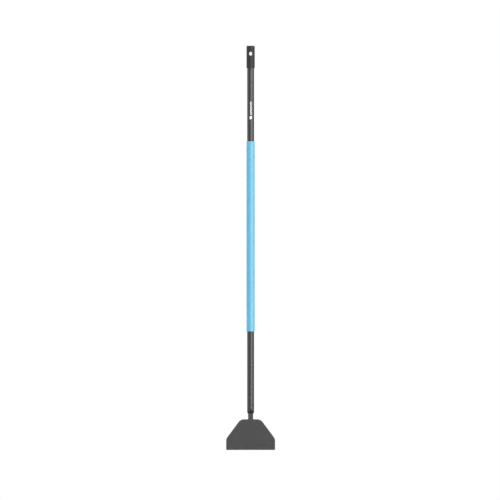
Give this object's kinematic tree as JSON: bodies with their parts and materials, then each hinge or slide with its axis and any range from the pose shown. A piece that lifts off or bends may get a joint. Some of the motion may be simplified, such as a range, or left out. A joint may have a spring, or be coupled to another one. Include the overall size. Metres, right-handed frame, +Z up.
{
  "type": "straight garden hoe",
  "caption": "Straight long-handled hoe: flat trapezoid steel plate blade in line with a painted steel tube handle, with a plastic sleeve and a plastic end cap with a hanging hole.",
  "frame": {"origin": "middle of the cutting edge, on the axis of the handle", "axes": "+Z up the handle from the blade, +X across the blade to the right of someone looking at its front, -Y out of the blade's front face"},
  "size_m": [0.18, 0.0302, 1.488],
  "materials": {
    "blade_paint": "satin",
    "tube_paint": "gloss",
    "filler_nylon": "moulded",
    "rivet_metal": "bright",
    "pin_steel": "drawn",
    "sleeve_plastic": "satin",
    "cap_plastic": "moulded",
    "screw_steel": "zinc plated",
    "white_print": "printed ink"
  },
  "bodies": {
    "root": {"blade": "blade_paint", "handle_tube": "tube_paint", "front_tang_shell": "filler_nylon", "rear_tang_shell": "filler_nylon", "rivet_bodies": "rivet_metal", "rivet_mandrels": "pin_steel", "handle_sleeve": "sleeve_plastic", "end_cap": "cap_plastic", "cap_screw": "screw_steel", "printed_mark": "white_print"}
  },
  "joints": []
}
